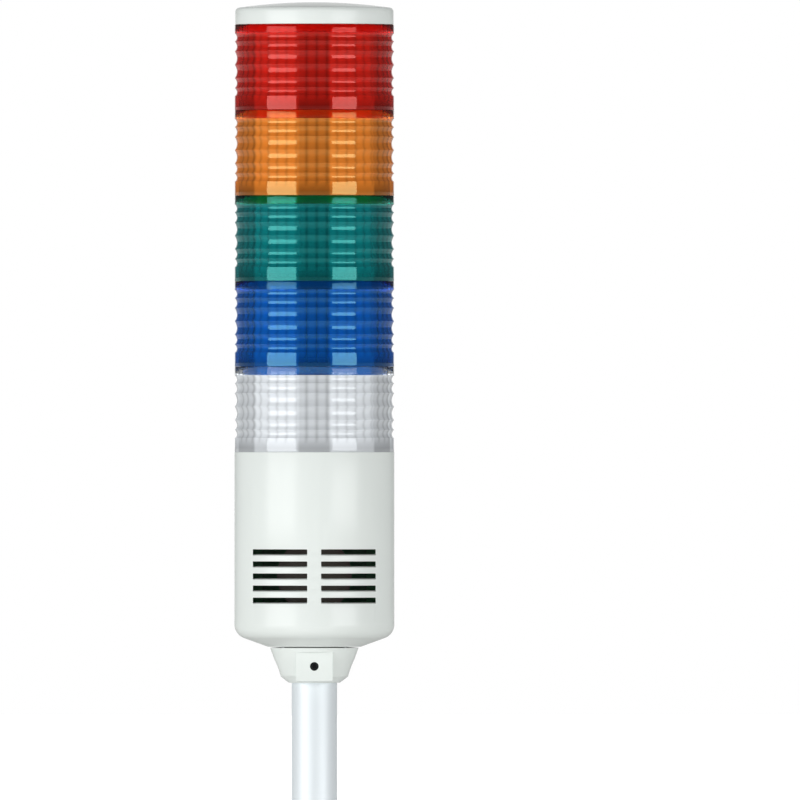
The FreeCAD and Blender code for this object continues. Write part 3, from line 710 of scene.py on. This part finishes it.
inner_corner = bottom + floor_thickness + (inner_radius - flat_radius) * floor_slope
small = corner_radius - body_wall
outline += arc(inner_radius - small, inner_corner + small * corner_rise, small, 0, -70, 8)
outline += [(flat_radius, bottom + floor_thickness), (bore_radius, bottom + floor_thickness)]
bm = turned(outline, round(360 / degrees_per_step))
print("slots in mm above the body's foot:", [round(middle - bottom, 1) for middle in slot_middles])

# %% [markdown]
# ## Slots and groove
# The faces of each slot come out of both walls, and the two openings are bridged, which gives the slot its own
# walls. The groove is the ring at the slots' middle, pushed in where it runs between the two slots.

# %% Slots and groove
groove_depth = 0.35
slot_inner_end, slot_outer_end = 5.0, 50.0


def in_slot(face, middle, side, radius, shift):
    """True if a face lies in one slot on the wall of that radius."""
    centre = face.calc_center_median()
    angle = math.degrees(math.atan2(centre.x, -centre.y)) * side
    return (
        abs(centre.xy.length - radius * mm) < 0.1 * mm
        and slot_inner_end < angle < slot_outer_end
        and abs(centre.z / mm - middle - shift) < slot_height / 2
    )


for middle in slot_middles:
    for side in (-1, 1):
        outside = [face for face in bm.faces if in_slot(face, middle, side, body_radius, -slot_drop)]
        inside = [face for face in bm.faces if in_slot(face, middle, side, inner_radius, slot_drop)]
        rims = []
        for faces in (outside, inside):
            around = {edge for face in faces for edge in face.edges}
            rims += [edge for edge in around if sum(face in faces for face in edge.link_faces) == 1]
        bmesh.ops.delete(bm, geom=outside + inside, context="FACES")
        bmesh.ops.bridge_loops(bm, edges=rims)
    for vert in bm.verts:
        angle = abs(math.degrees(math.atan2(vert.co.x, -vert.co.y)))
        in_groove = abs(vert.co.z / mm - middle + slot_drop) < 0.01 and angle < slot_inner_end - 1
        if in_groove and vert.co.xy.length > (body_radius - 0.1) * mm:
            vert.co.xy *= 1 - groove_depth / body_radius
print("slots cut:", 2 * len(slot_middles))

# %% [markdown]
# ## Slot ends that point straight forward
# The mould's slide draws the slots straight forward, but bridged slots point at the body's middle. So the inner
# wall's points are turned until they stand straight behind the outer ones. Past the slots the turning fades out
# evenly, until it is nil at the sides.

# %% Straight slot ends
widest = math.degrees(math.asin(body_radius / inner_radius * math.sin(math.radians(slot_outer_end))))
for vert in bm.verts:
    angle = math.degrees(math.atan2(vert.co.x, -vert.co.y))
    size = abs(angle)
    if abs(vert.co.xy.length - inner_radius * mm) > 0.01 * mm or size >= 90:
        continue
    if size <= slot_outer_end:
        turned_size = math.degrees(math.asin(body_radius / inner_radius * math.sin(math.radians(size))))
    else:
        turned_size = widest + (90 - widest) * (size - slot_outer_end) / (90 - slot_outer_end)
    vert.co.xy = Matrix.Rotation(math.radians(math.copysign(turned_size, angle) - angle), 2) @ vert.co.xy
bmesh.ops.recalc_face_normals(bm, faces=bm.faces)
soften(bm, 0.2, 40.0)
finished(bm, "sounder_body", pale_abs, "mast", ["body_housing"])

# %% [markdown]
# ## The cap
# The cap's side is upright, its rim is rounded, and its crown is slightly domed so that water runs off. A collar
# below keeps it in the top tier. All of it is one outline again.

# %% Cap
cap_radius = 29.7
cap_side = 6.2
cap_crown = 2.2
rim_radius = 1.6
hollow_height = 5.1
hollow_radius = cap_radius - 4.0
low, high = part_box("top_cap")
bottom = low.z / mm + collar_depth
crown_radius = (cap_radius ** 2 + cap_crown ** 2) / (2 * cap_crown)
crown_centre = bottom + cap_side + cap_crown - crown_radius
rim_from_centre = crown_radius - rim_radius
rim_height = crown_centre + math.sqrt(rim_from_centre ** 2 - (cap_radius - rim_radius) ** 2)
crown_start = math.degrees(math.acos((cap_radius - rim_radius) / rim_from_centre))
outline = [
    (collar_bore, bottom - collar_depth), (collar_radius, bottom - collar_depth), (collar_radius, bottom),
    (cap_radius, bottom),
]
outline += arc(cap_radius - rim_radius, rim_height, rim_radius, 0, crown_start, 8)
outline += arc(0, crown_centre, crown_radius, crown_start, 90, 12)[1:]
outline += [
    (0, bottom + hollow_height), (hollow_radius, bottom + hollow_height), (hollow_radius, bottom),
    (collar_bore, bottom),
]
bm = turned(outline, 144)
soften(bm, 0.25, 50.0)
finished(bm, "domed_cap", pale_abs, "mast", ["top_cap"])

# %% [markdown]
# ## The pole
# A thin tube with slightly broken edges. It is spun with enough steps that its outline stays round close up.

# %% Pole
pole_radius = 8.5
pole_wall = 1.3
low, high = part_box("pole")
bm = turned([
    (pole_radius, low.z / mm), (pole_radius, high.z / mm),
    (pole_radius - pole_wall, high.z / mm), (pole_radius - pole_wall, low.z / mm),
], 120)
soften(bm, 0.2)
finished(bm, "anodised_pole", anodised, "mast", ["pole"])

# %% [markdown]
# ## Copies with rounded edges
# Some pieces have shapes that cuts from several sides made, such as the hinge barrel with its slot. Their
# measured meshes are exact but have knife-sharp edges. A copy is merged, its flat faces are joined, and a Bevel
# modifier rounds what is sharp. Weighted normals then keep the flat faces flat beside the rounded edges.

# %% Rounded copies
def rounded_copy(node, name, material, body, width, over_degrees=30.0, reshape=None):
    """Copies a measured mesh, moves its points if asked, and rounds its sharp edges."""
    bm = bmesh.new()
    bm.from_mesh(nodes[node].data)
    bmesh.ops.remove_doubles(bm, verts=bm.verts, dist=0.002 * mm)
    for vert in bm.verts:
        if reshape:
            reshape(vert.co)
    bmesh.ops.dissolve_limit(bm, angle_limit=math.radians(0.5), verts=bm.verts, edges=bm.edges)
    piece = finished(bm, name, material, body, [node], over_degrees)
    bevel = piece.modifiers.new("rounded_edges", "BEVEL")
    bevel.width = width * mm
    bevel.segments = 2
    bevel.limit_method = "ANGLE"
    bevel.angle_limit = math.radians(over_degrees)
    bevel.use_clamp_overlap = True
    weighted = piece.modifiers.new("flat_faces_stay_flat", "WEIGHTED_NORMAL")
    weighted.keep_sharp = True


pieces_with_sharp_edges = ("pole_holder", "pole_set_screw", "base_bracket", "barrel_cap", "fold_arm", "base_gasket")
print("faces as measured:", {node: len(nodes[node].data.polygons) for node in pieces_with_sharp_edges})

# %% [markdown]
# ## The pole holder
# The holder is a cone with a flat boss for its set screw. In the photograph its mouth is a little shorter and its
# waist a little slimmer than measured, and the screw sits a little higher, so the copy's points are moved along
# the axis and towards it before its edges are rounded. The screw's own points are lifted in the same way.

# %% Pole holder and its screw
holder_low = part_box("pole_holder")[0].z / mm
waist_height = 4.4
mouth_height = 2.0
waist_slimming = 0.03
screw_height = 7.4
screw_rise = 0.8
screw_reach, screw_fade = 3.6, 1.8
pole_zone = 9.5
waist_reach = 5.0
collar_start = 15.0
collar_zone = 11.0
joint_gap = 0.4


def screw_place(point):
    """Lifts the set screw and the wall round it to where the photograph shows it."""
    off = abs(point.z / mm - holder_low - screw_height)
    point.z += screw_rise * mm * min(1.0, max(0.0, (screw_reach - off) / screw_fade))


def holder_shape(point):
    """Shortens the mouth, slims the waist, lifts the screw's hole and leaves a dark joint under the body."""
    height = point.z / mm - holder_low
    if point.xy.length > pole_zone * mm:
        point.xy *= 1 - waist_slimming * max(0.0, 1 - abs(height - waist_height) / waist_reach)
    screw_place(point)
    if height > collar_start and point.xy.length > collar_zone * mm:
        point.z -= joint_gap * mm
    if height < waist_height:
        point.z = (holder_low + mouth_height + height * (1 - mouth_height / waist_height)) * mm


rounded_copy("pole_holder", "cone_holder", pale_abs, "mast", 0.25, reshape=holder_shape)
rounded_copy("pole_set_screw", "dark_set_screw", black_oxide, "mast", 0.1, reshape=screw_place)

# %% [markdown]
# ## The foot and the arm
# Bracket, barrel cap, arm and gasket keep their measured shapes. Their edges are rounded as a mould rounds them,
# most on the large bracket and least on the rubber pad.

# %% Foot and arm
rounded_copy("base_bracket", "hinge_bracket", black_nylon, "foot", 0.3)
rounded_copy("barrel_cap", "front_barrel_cap", black_nylon, "foot", 0.2)
rounded_copy("fold_arm", "folding_arm", black_nylon, "mast", 0.25)
rounded_copy("base_gasket", "foot_gasket", rubber, "foot", 0.15)

# %% [markdown]
# ## The button's spring
# The spring sits between the barrel cap and the button's collar. When the button is pressed by two millimetres
# it gets shorter by as much. Its measured mesh is copied into a piece of its own on the foot, with its own mesh
# data.

# %% Button spring
low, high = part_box("button_spring")
bm = bmesh.new()
bm.from_mesh(nodes["button_spring"].data)
bmesh.ops.remove_doubles(bm, verts=bm.verts, dist=0.002 * mm)
spring = finished(bm, "coiled_button_spring", zinc, "foot", ["button_spring"])
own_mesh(spring)
